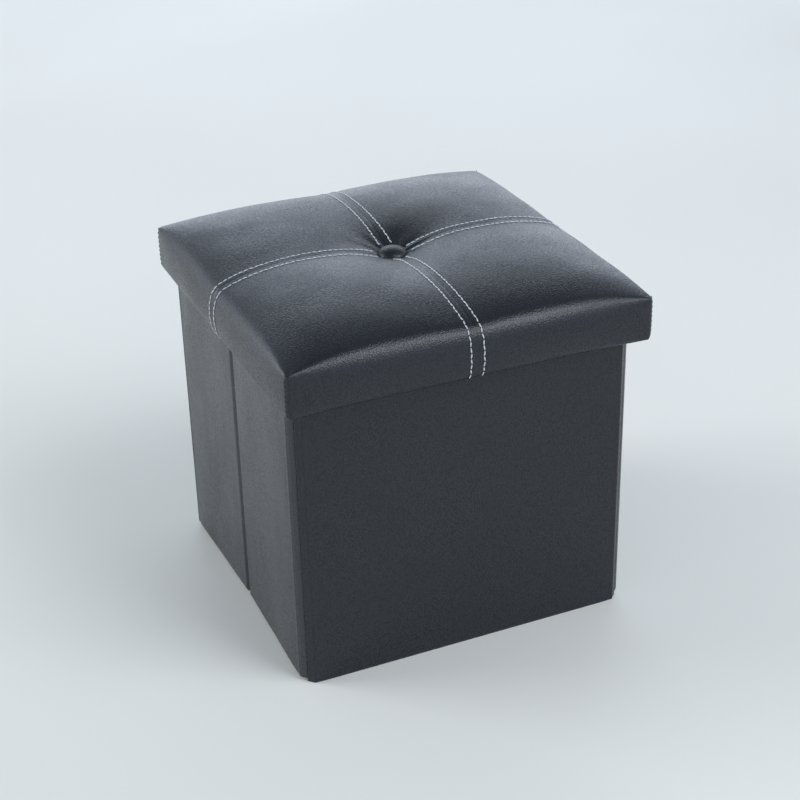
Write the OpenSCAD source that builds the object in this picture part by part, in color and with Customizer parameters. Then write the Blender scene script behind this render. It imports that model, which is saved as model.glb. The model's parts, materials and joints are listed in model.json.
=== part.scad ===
// Folding storage ottoman: a cube of four lined walls with a padded lift-off lid.
// The origin is at the centre of the footprint on the floor. +Z is up and the front is at -Y.

/* [Body] */
// Width of the body, left to right
body_w = 290; // [280:1:300]
// Depth of the body, front to back
body_d = 280; // [260:1:284]
// Height of the wall tops above the floor
wall_top = 270; // [255:1:290]
// Distance from each outer corner to the edges of the boards beside it
corner_cut = 10; // [9:0.5:14]

/* [Walls] */
// Thickness of the imitation leather on the walls
leather_t = 1; // [0.8:0.1:1.4]
// Thickness of the fibreboard in the walls
board_t = 3; // [2.5:0.5:3.5]
// Thickness of the lining cloth on the walls
lining_t = 0.5; // [0.3:0.1:0.6]
// Gap between the two boards of a side, where it creases
crease_gap = 8; // [6:1:12]
// How far the crease of a standing side is pushed in
crease_in = 3; // [1:0.5:4]
// Height of the folded tape that binds the top edge of each wall
binding_h = 12; // [8:1:20]
// Height of the folding walls above the floor, to pass over the base
hem_z = 2.8; // [2.8:0.1:4]

/* [Base] */
// Thickness of the base board
base_board_t = 2; // [1.5:0.1:2]
// Thickness of the cloth on the base board
base_lining_t = 0.4; // [0.3:0.1:0.4]
// Width of the pull tab on the rear edge of the base
tab_w = 30; // [20:1:50]

/* [Lid] */
// Width of the lid, left to right
lid_w = 304; // [302:1:312]
// Depth of the lid, front to back
lid_d = 312; // [302:1:316]
// Height of the top of the lid above the floor
lid_top = 303; // [300:1:312]
// Height of the bottom edge of the skirt above the floor
skirt_z = 252; // [240:1:258]
// Radius of the padded top edge
pad_r = 24; // [12:1:26]
// Radius of the four upright corners of the lid
lid_corner_r = 6; // [4:0.5:10]
// Thickness of the lid's cover
cover_t = 1.2; // [1:0.1:1.6]
// Thickness of the fibreboard in the lid
lid_board_t = 3; // [2.5:0.5:4]

/* [Button] */
// Diameter of the covered button
button_d = 25; // [20:1:32]
// Height of the bottom of the button's dimple above the floor
dimple_z = 290; // [286:1:296]
// Height of the top of the button above the floor
button_top = 297; // [295:0.5:299]

/* [Hidden] */
$fn = 64;
wall_t = leather_t + board_t + lining_t;
outer_x = body_w / 2;
outer_y = body_d / 2;
inner_x = outer_x - wall_t;
inner_y = outer_y - wall_t;
panel_end = outer_x - corner_cut;
half_gap = 0.3;
tape_t = 0.4;

// The side halves turn about upright axes in their inner faces, corner_cut in from the front and back.
side_end = outer_y - corner_cut;
// The axis of the crease is this far out from the inner face, just clear of the leather.
crease_reach = wall_t + 0.2;
// Length of a half from its corner axis to the crease, and its turn from straight, so that
// the crease ends up in the middle of the side and crease_in in from the outer face.
half_length = sqrt(pow(side_end, 2) + pow(crease_reach - crease_in, 2) - pow(crease_reach, 2));
tilt = atan2(half_length, -crease_reach) - atan2(side_end, crease_in - crease_reach);

base_t = base_board_t + base_lining_t;
base_x = panel_end - 0.6;
hinge_y = -inner_y + 1.4;
// Turned up, the base stands just below the lid.
base_rear = hinge_y + wall_top - base_t - 1.6;
tab_depth = 12;
tape_w = 14;

lid_rest = wall_top + 0.2;
lid_lining_t = 0.4;
lid_board_z = lid_rest + lid_lining_t;
lid_board_top = lid_board_z + lid_board_t;
skirt_lining_t = 0.4;
card_t = 2;
skirt_x = outer_x + 1.2;
skirt_y = skirt_x - 0.2;
card_x = skirt_x + skirt_lining_t;
card_y = skirt_y + skirt_lining_t;
hem_t = 0.8;
pad_x = lid_w / 2 - cover_t;
pad_y = lid_d / 2 - cover_t;
dimple_r = 60;

button_r = button_d / 2;
button_rim_z = button_top - 4;
dome_r = (pow(button_r, 2) + pow(button_top - button_rim_z, 2)) / (2 * (button_top - button_rim_z));
shell_t = 1;
cord_r = 1.2;
cord_hole_r = 1.6;
washer_r = 9;
washer_t = 1.6;

leather_colour = "#3c4347";
board_colour = "#a58256";
lining_colour = "#26292b";
tape_colour = "#191b1c";
foam_colour = "#e2dfd0";
card_colour = "#8f8471";
cord_colour = "#d9d9d4";
plastic_colour = "#4a4a4a";

// ---- Places ----

// Everything is drawn at the front left. at() mirrors it to the other corners and sides.
module at(x_side, y_side) {
    mirror([x_side > 0 ? 1 : 0, 0, 0])
        mirror([0, y_side > 0 ? 1 : 0, 0])
            children();
}

// A block between two opposite corner points.
module block(low, high) {
    translate(low)
        cube(high - low);
}

// A layer of the front wall, from depth_0 to depth_1 in from the outer face.
module front_layer(depth_0, depth_1, z_0, z_1) {
    block([-panel_end, -outer_y + depth_0, z_0], [panel_end, -outer_y + depth_1, z_1]);
}

// A layer of the front half of the left wall, ending short of the crease by the given gap.
// The half is turned in about its corner axis.
module side_layer(depth_0, depth_1, z_0, z_1, gap = half_gap) {
    translate([-inner_x, -side_end, 0])
        rotate([0, 0, -tilt])
            block([depth_0 - wall_t, 0, z_0], [depth_1 - wall_t, half_length - gap, z_1]);
}

// The foot of the front wall is on the floor. The back wall passes over the base.
function foot_z(y_side) = y_side < 0 ? 0 : hem_z;

// ---- Front and back walls ----

module panel_board(y_side) {
    color(board_colour)
        at(-1, y_side)
            front_layer(leather_t, leather_t + board_t, foot_z(y_side), wall_top - leather_t);
}

module panel_leather(y_side) {
    color(leather_colour)
        at(-1, y_side)
            front_layer(0, leather_t, foot_z(y_side), wall_top - binding_h);
}

module panel_lining(y_side) {
    color(lining_colour)
        at(-1, y_side)
            front_layer(wall_t - lining_t, wall_t, hem_z, wall_top - binding_h);
}

module panel_binding(y_side) {
    color(tape_colour)
        at(-1, y_side)
            difference() {
                front_layer(0, wall_t, wall_top - binding_h, wall_top);
                front_layer(leather_t, wall_t - lining_t, wall_top - binding_h, wall_top - leather_t);
            }
}

// ---- Side walls: four hinged halves ----

module side_board(x_side, y_side) {
    color(board_colour)
        at(x_side, y_side)
            side_layer(leather_t, leather_t + board_t, hem_z, wall_top - leather_t, crease_gap / 2);
}

module side_leather(x_side, y_side) {
    color(leather_colour)
        at(x_side, y_side)
            side_layer(0, leather_t, hem_z, wall_top - binding_h);
}

module side_lining(x_side, y_side) {
    color(lining_colour)
        at(x_side, y_side)
            side_layer(wall_t - lining_t, wall_t, hem_z, wall_top - binding_h);
}

module side_binding(x_side, y_side) {
    color(tape_colour)
        at(x_side, y_side)
            difference() {
                side_layer(0, wall_t, wall_top - binding_h, wall_top);
                side_layer(leather_t, wall_t - lining_t, wall_top - binding_h, wall_top - leather_t);
            }
}

// ---- Corners: upright strips of leather and lining with no board ----

module corner_strip(x_side, y_side) {
    z_0 = foot_z(y_side);
    end_y = side_end + half_gap;
    slant = (leather_t + lining_t) * sqrt(2);
    color(leather_colour)
        at(x_side, y_side)
            translate([0, 0, z_0])
                linear_extrude(height = wall_top - z_0)
                    polygon([
                        [-panel_end, -outer_y],
                        [-panel_end, -outer_y + slant],
                        [-outer_x + slant, -end_y],
                        [-outer_x, -end_y]
                    ]);
}

// ---- Base: a board on the floor, hinged to the foot of the front wall ----

// The outline of the base, with the notch for the pull tab in its rear edge.
module base_sheet(front_y, z_0, z_1) {
    notch_x = tab_w / 2 + 1;
    difference() {
        block([-base_x, front_y, z_0], [base_x, base_rear, z_1]);
        block([-notch_x, base_rear - tab_depth, z_0 - 1], [notch_x, base_rear + 1, z_1 + 1]);
    }
}

module base_board() {
    color(board_colour)
        base_sheet(hinge_y, 0, base_board_t);
}

module base_lining() {
    color(lining_colour)
        base_sheet(hinge_y + tape_w, base_board_t, base_t);
}

module base_hinge_tape() {
    color(tape_colour)
        block([-base_x, hinge_y, base_board_t], [base_x, hinge_y + tape_w, base_t]);
}

module wall_hinge_tape() {
    color(tape_colour)
        block([-base_x, -inner_y, hem_z], [base_x, -inner_y + tape_t, hem_z + tape_w]);
}

module pull_tab() {
    color(tape_colour)
        block([-tab_w / 2, base_rear - tab_depth, 0.6], [tab_w / 2, base_rear, 1.8]);
}

// ---- Lid ----

// A rectangle with round corners, centred.
module rounded_plan(half_x, half_y, r) {
    square([2 * half_x, 2 * (half_y - r)], center = true);
    square([2 * (half_x - r), 2 * half_y], center = true);
    for (x = [-1, 1], y = [-1, 1])
        translate([x * (half_x - r), y * (half_y - r)])
            circle(r);
}

// The cross-section of the padding: upright sides and large round shoulders.
module pad_profile(half, z_0, z_1, r) {
    translate([-half, z_0])
        square([2 * half, z_1 - r - z_0]);
    translate([-half + r, z_0])
        square([2 * (half - r), z_1 - z_0]);
    for (side = [-1, 1])
        translate([side * (half - r), z_1 - r])
            circle(r);
}

// The padded block: rounded in plan and along all four top edges, with a dimple for the button.
// inset moves every outer surface in by the same amount.
module lid_block(z_0, inset) {
    half_x = lid_w / 2 - inset;
    half_y = lid_d / 2 - inset;
    z_1 = lid_top - inset;
    difference() {
        intersection() {
            translate([0, 0, z_0])
                linear_extrude(height = z_1 - z_0)
                    rounded_plan(half_x, half_y, lid_corner_r - inset);
            rotate([90, 0, 0])
                linear_extrude(height = lid_d, center = true)
                    pad_profile(half_x, z_0, z_1, pad_r - inset);
            rotate([90, 0, 90])
                linear_extrude(height = lid_w, center = true)
                    pad_profile(half_y, z_0, z_1, pad_r - inset);
        }
        translate([0, 0, dimple_z + dimple_r])
            sphere(dimple_r + inset, $fn = 128);
    }
}

// The upright hole for the tufting cord.
module cord_hole() {
    translate([0, 0, wall_top])
        cylinder(r = cord_hole_r, h = lid_top - wall_top);
}

module lid_board() {
    color(board_colour)
        difference() {
            block([-card_x, -card_y, lid_board_z], [card_x, card_y, lid_board_top]);
            cord_hole();
            translate([0, 0, lid_rest])
                cylinder(r = washer_r + 0.3, h = washer_t);
        }
}

module lid_lining() {
    color(lining_colour)
        difference() {
            block([-card_x, -card_y, lid_rest], [card_x, card_y, lid_board_z]);
            translate([0, 0, wall_top])
                cylinder(r = washer_r + 0.3, h = lid_board_z);
        }
}

module lid_foam() {
    color(foam_colour)
        difference() {
            lid_block(lid_board_top, cover_t);
            cord_hole();
        }
}

module lid_cover() {
    color(leather_colour)
        difference() {
            lid_block(skirt_z, 0);
            lid_block(lid_board_top, cover_t);
            translate([0, 0, skirt_z + hem_t])
                linear_extrude(height = lid_board_top - skirt_z - hem_t)
                    rounded_plan(pad_x, pad_y, lid_corner_r - cover_t);
            block([-skirt_x, -skirt_y, skirt_z - 1], [skirt_x, skirt_y, lid_board_top]);
            cord_hole();
        }
}

// ---- Skirt of the lid ----

// The front and back strips run the full width, and the side strips fit between them.
module skirt_card_long(y_side) {
    color(card_colour)
        at(-1, y_side)
            block([-card_x - card_t, -card_y - card_t, skirt_z + hem_t],
                  [card_x + card_t, -card_y, lid_board_top]);
}

module skirt_card_short(x_side) {
    color(card_colour)
        at(x_side, -1)
            block([-card_x - card_t, -card_y, skirt_z + hem_t], [-card_x, card_y, lid_board_top]);
}

// The space for the padding of the skirt, rounded at the corners like the cover.
module in_cover() {
    intersection() {
        linear_extrude(height = lid_top)
            rounded_plan(pad_x, pad_y, lid_corner_r - cover_t);
        children();
    }
}

module skirt_pad_long(y_side) {
    color(foam_colour)
        at(-1, y_side)
            in_cover()
                block([-pad_x, -pad_y, skirt_z + hem_t], [pad_x, -card_y - card_t, lid_board_top]);
}

module skirt_pad_short(x_side) {
    color(foam_colour)
        at(x_side, -1)
            block([-pad_x, -card_y - card_t, skirt_z + hem_t],
                  [-card_x - card_t, card_y + card_t, lid_board_top]);
}

module skirt_lining() {
    color(lining_colour)
        difference() {
            block([-card_x, -card_y, skirt_z + hem_t], [card_x, card_y, lid_rest]);
            block([-skirt_x, -skirt_y, skirt_z], [skirt_x, skirt_y, lid_rest + 1]);
        }
}

// ---- Covered button and its cord ----

// The dome of the button, its underside resting in the dimple.
module button_dome(r, inset) {
    intersection() {
        translate([0, 0, dimple_z - 2])
            cylinder(r = r, h = lid_top - dimple_z);
        translate([0, 0, button_top - dome_r])
            sphere(dome_r - inset, $fn = 96);
        translate([0, 0, dimple_z + dimple_r])
            sphere(dimple_r, $fn = 128);
    }
}

module button_shell() {
    color(leather_colour)
        difference() {
            button_dome(button_r, 0);
            button_dome(button_r - shell_t, shell_t);
        }
}

module button_core() {
    color(plastic_colour)
        button_dome(button_r - shell_t, shell_t);
}

module tuft_cord() {
    cord_z = lid_rest + washer_t;
    color(cord_colour)
        translate([0, 0, cord_z])
            cylinder(r = cord_r, h = dimple_z - cord_z);
}

module tuft_washer() {
    color(plastic_colour)
        translate([0, 0, lid_rest])
            cylinder(r = washer_r, h = washer_t);
}

panel_board(-1);  // front_board
panel_leather(-1);  // front_leather
panel_lining(-1);  // front_lining
panel_binding(-1);  // front_binding
panel_board(1);  // back_board
panel_leather(1);  // back_leather
panel_lining(1);  // back_lining
panel_binding(1);  // back_binding
side_board(-1, -1);  // left_front_board
side_leather(-1, -1);  // left_front_leather
side_lining(-1, -1);  // left_front_lining
side_binding(-1, -1);  // left_front_binding
side_board(-1, 1);  // left_rear_board
side_leather(-1, 1);  // left_rear_leather
side_lining(-1, 1);  // left_rear_lining
side_binding(-1, 1);  // left_rear_binding
side_board(1, -1);  // right_front_board
side_leather(1, -1);  // right_front_leather
side_lining(1, -1);  // right_front_lining
side_binding(1, -1);  // right_front_binding
side_board(1, 1);  // right_rear_board
side_leather(1, 1);  // right_rear_leather
side_lining(1, 1);  // right_rear_lining
side_binding(1, 1);  // right_rear_binding
corner_strip(-1, -1);  // corner_front_left
corner_strip(1, -1);  // corner_front_right
corner_strip(-1, 1);  // corner_rear_left
corner_strip(1, 1);  // corner_rear_right
base_board();
base_lining();
base_hinge_tape();
wall_hinge_tape();
pull_tab();
lid_board();
lid_lining();
lid_foam();
lid_cover();
skirt_card_long(-1);  // skirt_card_front
skirt_card_long(1);  // skirt_card_back
skirt_card_short(-1);  // skirt_card_left
skirt_card_short(1);  // skirt_card_right
skirt_pad_long(-1);  // skirt_pad_front
skirt_pad_long(1);  // skirt_pad_back
skirt_pad_short(-1);  // skirt_pad_left
skirt_pad_short(1);  // skirt_pad_right
skirt_lining();
button_shell();
button_core();
tuft_cord();
tuft_washer();
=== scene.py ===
import json
import math

import bmesh
import bpy
from mathutils import Matrix, Vector, noise
from mathutils.bvhtree import BVHTree


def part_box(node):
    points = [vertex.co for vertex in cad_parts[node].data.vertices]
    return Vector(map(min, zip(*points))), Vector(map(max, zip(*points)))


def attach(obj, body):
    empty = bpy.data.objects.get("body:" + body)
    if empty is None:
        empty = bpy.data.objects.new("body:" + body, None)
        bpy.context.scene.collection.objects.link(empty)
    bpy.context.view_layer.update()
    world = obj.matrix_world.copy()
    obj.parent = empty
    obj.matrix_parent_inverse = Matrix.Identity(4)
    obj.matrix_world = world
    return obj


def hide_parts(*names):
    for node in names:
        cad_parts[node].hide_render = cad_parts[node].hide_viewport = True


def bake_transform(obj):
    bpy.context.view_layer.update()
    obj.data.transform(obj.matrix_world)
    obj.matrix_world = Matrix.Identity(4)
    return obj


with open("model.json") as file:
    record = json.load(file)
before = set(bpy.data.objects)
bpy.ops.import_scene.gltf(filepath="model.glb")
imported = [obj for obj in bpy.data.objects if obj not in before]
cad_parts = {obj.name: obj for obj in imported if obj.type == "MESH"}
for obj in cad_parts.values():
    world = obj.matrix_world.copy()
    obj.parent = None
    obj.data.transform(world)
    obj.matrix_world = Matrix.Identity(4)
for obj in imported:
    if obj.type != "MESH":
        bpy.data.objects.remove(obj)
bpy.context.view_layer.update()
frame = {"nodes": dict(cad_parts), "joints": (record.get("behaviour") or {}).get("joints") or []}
scene = bpy.context.scene
scene.view_settings.view_transform = "Standard"
metres = 0.001  # the pieces are worked out in millimetres

viewSettings = {
    "place": (-0.50615, -1.19106, 0.84601),
    "forward": (0.34724, 0.81139, -0.47018),
    "roll": -1.42,
    "lens": 78.07,
}

lightSettings = {
    "horizonColour": (0.77, 0.865, 1.0, 1),
    "zenithColour": (0.20, 0.22, 0.24, 1),
    "darkFrom": 0.42,          # how far up the bright walls of the room go, as the sine of the angle
    "darkTo": 0.74,
    "worldStrength": 0.97,
    "floorColour": (0.86, 0.845, 0.80, 1),
    "floorHalf": 6000,
    "aim": (0, 0, 0.15),
    # name: (place, size, power, colour), each aimed at the middle of the object
    "window": ((-2.7, 1.5, 1.2), 1.8, 60, (0.91, 0.98, 1.0)),
    "curtain": ((1.2, 2.6, 0.8), 2.4, 21, (0.80, 0.88, 1.0)),
    "ceiling": ((0.95, -1.35, 1.95), 1.4, 30, (0.88, 0.94, 1.0)),
}


def addCamera(s):
    forward = Vector(s["forward"]).normalized()
    right = forward.cross(Vector((0, 0, 1))).normalized()
    up = right.cross(forward)
    roll = math.radians(s["roll"])
    turnedRight = right * math.cos(roll) + up * math.sin(roll)
    turnedUp = up * math.cos(roll) - right * math.sin(roll)
    data = bpy.data.cameras.new("camera")
    data.lens = s["lens"]
    data.sensor_width = 36
    data.clip_start = 0.05
    cam = bpy.data.objects.new("camera", data)
    scene.collection.objects.link(cam)
    turn = Matrix((turnedRight, turnedUp, -forward)).transposed().to_4x4()
    cam.matrix_world = Matrix.Translation(s["place"]) @ turn
    scene.camera = cam


def addLight(name, place, size, power, colour):
    data = bpy.data.lights.new(name, "AREA")
    data.size = size
    data.energy = power
    data.color = colour
    lamp = bpy.data.objects.new(name, data)
    scene.collection.objects.link(lamp)
    lamp.location = place
    lamp.rotation_euler = (Vector(lightSettings["aim"]) - Vector(place)).to_track_quat("-Z", "Y").to_euler()


def addNode(tree, kind, inputs=None, **props):
    # an input is given a number or a colour, or is joined to another node's socket
    node = tree.nodes.new(kind)
    for key, value in props.items():
        setattr(node, key, value)
    for key, value in (inputs or {}).items():
        if isinstance(value, bpy.types.NodeSocket):
            tree.links.new(value, node.inputs[key])
        else:
            node.inputs[key].default_value = value
    return node


def addMath(tree, operation, first, second):
    return addNode(tree, "ShaderNodeMath", {0: first, 1: second}, operation=operation).outputs[0]


def addRange(tree, value, low, high, toLow, toHigh):
    return addNode(tree, "ShaderNodeMapRange",
                   {"Value": value, "From Min": low, "From Max": high, "To Min": toLow, "To Max": toHigh},
                   interpolation_type="SMOOTHSTEP").outputs["Result"]


def addNoise(tree, vector, scale, detail, rough=0.5, distortion=0.0):
    return addNode(tree, "ShaderNodeTexNoise", {"Vector": vector, "Scale": scale, "Detail": detail,
                                                "Roughness": rough, "Distortion": distortion})


def mixColours(tree, mask, first, second):
    return addNode(tree, "ShaderNodeMix", {0: mask, 6: first, 7: second}, data_type="RGBA").outputs[2]


def buildWorld(s):
    # a bright room with a darker ceiling
    world = bpy.data.worlds.new("studio")
    world.use_nodes = True
    tree = world.node_tree
    coords = addNode(tree, "ShaderNodeTexCoord")
    split = addNode(tree, "ShaderNodeSeparateXYZ", {0: coords.outputs["Generated"]})
    share = addRange(tree, split.outputs["Z"], s["darkFrom"], s["darkTo"], 0, 1)
    background = tree.nodes["Background"].inputs
    tree.links.new(mixColours(tree, share, s["horizonColour"], s["zenithColour"]), background["Color"])
    background["Strength"].default_value = s["worldStrength"]
    scene.world = world


addCamera(viewSettings)
for lampName in ("window", "curtain", "ceiling"):
    addLight(lampName, *lightSettings[lampName])
buildWorld(lightSettings)
print("camera and light are in place")


def newGroup(name, inputs, outputs):
    group = bpy.data.node_groups.new(name, "ShaderNodeTree")
    group.interface.new_socket("Vector", in_out="INPUT", socket_type="NodeSocketVector")
    for label, value in inputs:
        socket = group.interface.new_socket(label, in_out="INPUT", socket_type="NodeSocketFloat")
        socket.default_value = value
    for label in outputs:
        group.interface.new_socket(label, in_out="OUTPUT", socket_type="NodeSocketFloat")
    gin = group.nodes.new("NodeGroupInput")
    return group, gin, gin.outputs["Vector"], group.nodes.new("NodeGroupOutput")


def makePebbleGroup():
    # rounded grains, with a mask of the valleys between them for painted shade, and broad patches that are a
    # little duller
    group, gin, vector, gout = newGroup("pebble grain", [("Grain Size", 0.0012)],
                                        ["Height", "Valley", "Patch"])
    scale = addMath(group, "DIVIDE", 1.0, gin.outputs["Grain Size"])
    warp = addNoise(group, vector, 260, 2)
    offset = addNode(group, "ShaderNodeVectorMath", {0: warp.outputs["Color"], "Scale": 0.0003},
                     operation="SCALE")
    bent = addNode(group, "ShaderNodeVectorMath", {0: vector, 1: offset.outputs[0]}, operation="ADD")
    cells = addNode(group, "ShaderNodeTexVoronoi",
                    {"Vector": bent.outputs[0], "Scale": scale, "Smoothness": 0.35}, feature="SMOOTH_F1")
    pebble = addRange(group, cells.outputs["Distance"], 0.0, 0.75, 1.0, 0.0)
    fine = addNoise(group, vector, addMath(group, "MULTIPLY", scale, 2.3), 3, 0.6)
    mixed = addMath(group, "MULTIPLY", fine.outputs["Fac"], 0.22)
    group.links.new(addMath(group, "ADD", pebble, mixed), gout.inputs["Height"])
    group.links.new(addRange(group, pebble, 0.10, 0.45, 1.0, 0.0), gout.inputs["Valley"])
    patch = addNoise(group, vector, 17, 4, 0.55)
    group.links.new(addRange(group, patch.outputs["Fac"], 0.3, 0.7, 0.0, 1.0), gout.inputs["Patch"])
    return group


def makeCreaseGroup():
    group, gin, vector, gout = newGroup("soft creases", [("Scale", 20.0)], ["Height"])
    broad = addNoise(group, vector, gin.outputs["Scale"], 1, 0.35)
    tight = addNoise(group, vector, addMath(group, "MULTIPLY", gin.outputs["Scale"], 4.0), 0, 0.4, 0.3)
    small = addMath(group, "MULTIPLY", tight.outputs["Fac"], 0.08)
    group.links.new(addMath(group, "ADD", broad.outputs["Fac"], small), gout.inputs["Height"])
    return group


def makeRibGroup():
    group, gin, vector, gout = newGroup("woven ribs", [("Pitch", 0.0009)], ["Height", "Fibre"])
    scale = addMath(group, "DIVIDE", 0.314, gin.outputs["Pitch"])
    ribs = addNode(group, "ShaderNodeTexWave",
                   {"Vector": vector, "Scale": scale, "Distortion": 0.4, "Detail": 1},
                   bands_direction="Z", wave_profile="SIN")
    cross = addNode(group, "ShaderNodeTexWave",
                    {"Vector": vector, "Scale": addMath(group, "MULTIPLY", scale, 0.7), "Distortion": 0.8,
                     "Detail": 1}, bands_direction="DIAGONAL", wave_profile="SIN")
    fibre = addNoise(group, vector, 1500, 3).outputs["Fac"]
    both = addMath(group, "MULTIPLY", ribs.outputs["Fac"], addMath(group, "ADD", cross.outputs["Fac"], 0.6))
    group.links.new(addMath(group, "ADD", both, addMath(group, "MULTIPLY", fibre, 0.3)),
                    gout.inputs["Height"])
    group.links.new(fibre, gout.inputs["Fibre"])
    return group


pebbleGroup = makePebbleGroup()
creaseGroup = makeCreaseGroup()
ribGroup = makeRibGroup()


def newMaterial(name, values):
    material = bpy.data.materials.new(name)
    material.use_nodes = True
    tree = material.node_tree
    shader = tree.nodes["Principled BSDF"]
    for key, value in values.items():
        shader.inputs[key].default_value = value
    coords = tree.nodes.new("ShaderNodeTexCoord")
    mapping = addNode(tree, "ShaderNodeMapping", {"Vector": coords.outputs["Object"]})
    return material, tree, shader, mapping.outputs["Vector"]


def useGroup(tree, group, vector, label, value):
    return addNode(tree, "ShaderNodeGroup", {"Vector": vector, label: value}, node_tree=group)


def addBump(tree, shader, height, distance, under=None):
    bump = addNode(tree, "ShaderNodeBump", {"Height": height, "Strength": 1.0, "Distance": distance})
    if under is not None:
        tree.links.new(under, bump.inputs["Normal"])
    tree.links.new(bump.outputs["Normal"], shader.inputs["Normal"])
    return bump.outputs["Normal"]


def finishShader(tree, shader, colour, rough, height=None, depth=0.0):
    tree.links.new(colour, shader.inputs["Base Color"])
    tree.links.new(rough, shader.inputs["Roughness"])
    if height is not None:
        addBump(tree, shader, height, depth)


leatherSettings = {
    "high": (0.0112, 0.0150, 0.0250, 1),
    # valley: painted shade, the darker colour put in the valleys of the grain
    "valley": (0.0045, 0.0055, 0.0070, 1),
    "grainSize": 0.0014,
    "grainDepth": 0.00012,
    "gloss": 0.5,
    # a stronger reflection for the side walls' copy of the leather, to brighten their sheen where the light
    # falls: painted sheen, the leather is the same all round
    "sideSheenBoost": 0.8,
    "foldScale": 16.0,
    "foldDepth": 0.00045,
    "smooth": 0.24,
    "dull": 0.31,
    "valleyDull": 0.14,
    "waveScale": 15.0,
    "waveDepth": 0.0030,
    "waveShift": (0, 0.012, 0),
    "waveStretch": (1, 1, 0.3),
    "fallFrom": 0.088,
    "fallTo": 0.130,
    "fallDepth": 0.0034,
}


def makeLeather(name, s, sideWall=False):
    # the side walls' copy reflects more strongly: painted sheen
    gloss = s["sideSheenBoost"] if sideWall else s["gloss"]
    material, tree, shader, vector = newMaterial(
        name, {"Specular IOR Level": gloss, "IOR": 1.5, "Sheen Weight": 0.0})
    grain = useGroup(tree, pebbleGroup, vector, "Grain Size", s["grainSize"])
    folds = useGroup(tree, creaseGroup, vector, "Scale", s["foldScale"])
    valley = grain.outputs["Valley"]
    rough = addRange(tree, grain.outputs["Patch"], 0, 1, s["smooth"], s["dull"])
    rough = addMath(tree, "ADD", rough, addMath(tree, "MULTIPLY", valley, s["valleyDull"]))
    # the colour is darker in the valleys of the grain: painted shade
    finishShader(tree, shader, mixColours(tree, valley, s["high"], s["valley"]), rough)
    under = addBump(tree, shader, folds.outputs["Height"], s["foldDepth"])
    if sideWall:
        # upright waves, and the fall of the leather towards the corners
        stretched = addNode(tree, "ShaderNodeMapping", {"Vector": vector, "Location": s["waveShift"],
                                                        "Scale": s["waveStretch"]})
        waves = useGroup(tree, creaseGroup, stretched.outputs["Vector"], "Scale", s["waveScale"])
        under = addBump(tree, shader, waves.outputs["Height"], s["waveDepth"], under)
        split = addNode(tree, "ShaderNodeSeparateXYZ", {"Vector": vector})
        fromMiddle = addMath(tree, "ABSOLUTE", split.outputs["Y"], 0.0)
        part = addNode(tree, "ShaderNodeMapRange", {"Value": fromMiddle, "From Min": s["fallFrom"],
                                                    "From Max": s["fallTo"]}).outputs["Result"]
        fall = addMath(tree, "SUBTRACT", 1.0, addMath(tree, "MULTIPLY", part, part))
        under = addBump(tree, shader, fall, s["fallDepth"], under)
    addBump(tree, shader, grain.outputs["Height"], s["grainDepth"], under)
    return material


def makeCloth(name, light, dark, pitch, depth):
    material, tree, shader, vector = newMaterial(
        name, {"Sheen Weight": 0.25, "Sheen Roughness": 0.5, "Specular IOR Level": 0.25})
    ribs = useGroup(tree, ribGroup, vector, "Pitch", pitch)
    height = ribs.outputs["Height"]
    # the colour follows the rib height, darker in the grooves between the ribs: painted shade, with some
    # random tone from the fibres
    finishShader(tree, shader, mixColours(tree, height, dark, light),
                 addRange(tree, ribs.outputs["Fibre"], 0.3, 0.7, 0.78, 0.95), height, depth)
    return material


def makeFelt(name, light, dark):
    # pressed felt with rows of small dents
    material, tree, shader, vector = newMaterial(
        name, {"Sheen Weight": 0.35, "Sheen Roughness": 0.6, "Specular IOR Level": 0.2})
    dots = addNode(tree, "ShaderNodeTexVoronoi", {"Vector": vector, "Scale": 420, "Randomness": 0.15},
                   feature="F1")
    dent = addRange(tree, dots.outputs["Distance"], 0.15, 0.5, 0.0, 1.0)
    fibre = addNoise(tree, vector, 900, 5, 0.7).outputs["Fac"]
    finishShader(tree, shader, mixColours(tree, fibre, dark, light),
                 addRange(tree, fibre, 0.3, 0.7, 0.82, 0.97),
                 addMath(tree, "ADD", dent, addMath(tree, "MULTIPLY", fibre, 0.6)), 0.00018)
    return material


def makeFibreboard(name, light, dark):
    material, tree, shader, vector = newMaterial(name, {"Specular IOR Level": 0.3})
    fibre = addNoise(tree, vector, 600, 6, 0.7, 1.2).outputs["Fac"]
    cloud = addNoise(tree, vector, 30, 3).outputs["Fac"]
    mask = addRange(tree, addMath(tree, "ADD", addMath(tree, "MULTIPLY", fibre, 0.7),
                                  addMath(tree, "MULTIPLY", cloud, 0.3)), 0.35, 0.65, 0, 1)
    finishShader(tree, shader, mixColours(tree, mask, dark, light),
                 addRange(tree, fibre, 0.3, 0.7, 0.6, 0.85), fibre, 0.00012)
    return material


def makeThread(name, light, dark, rough):
    material, tree, shader, vector = newMaterial(
        name, {"Sheen Weight": 0.2, "Sheen Roughness": 0.4, "Specular IOR Level": 0.35})
    twist = addNode(tree, "ShaderNodeTexWave",
                    {"Vector": vector, "Scale": 700, "Distortion": 1.0, "Detail": 1},
                    bands_direction="DIAGONAL").outputs["Fac"]
    wear = addNoise(tree, vector, 90, 2).outputs["Fac"]
    # lighter on the twisted strands and darker between them: painted shade, varied at random by the wear
    # noise
    mask = addMath(tree, "MULTIPLY", twist, addRange(tree, wear, 0.3, 0.6, 0.5, 1))
    finishShader(tree, shader, mixColours(tree, mask, dark, light),
                 addRange(tree, twist, 0, 1, rough, rough + 0.15), twist, 0.00012)
    return material


def makePlastic(name, colour):
    material, tree, shader, vector = newMaterial(name, {"Specular IOR Level": 0.5})
    speck = addNoise(tree, vector, 1300, 2).outputs["Fac"]
    shade = tuple(c * 0.8 for c in colour[:3]) + (1,)
    finishShader(tree, shader, mixColours(tree, speck, shade, colour),
                 addRange(tree, speck, 0.3, 0.7, 0.42, 0.55), speck, 0.00005)
    return material


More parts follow.
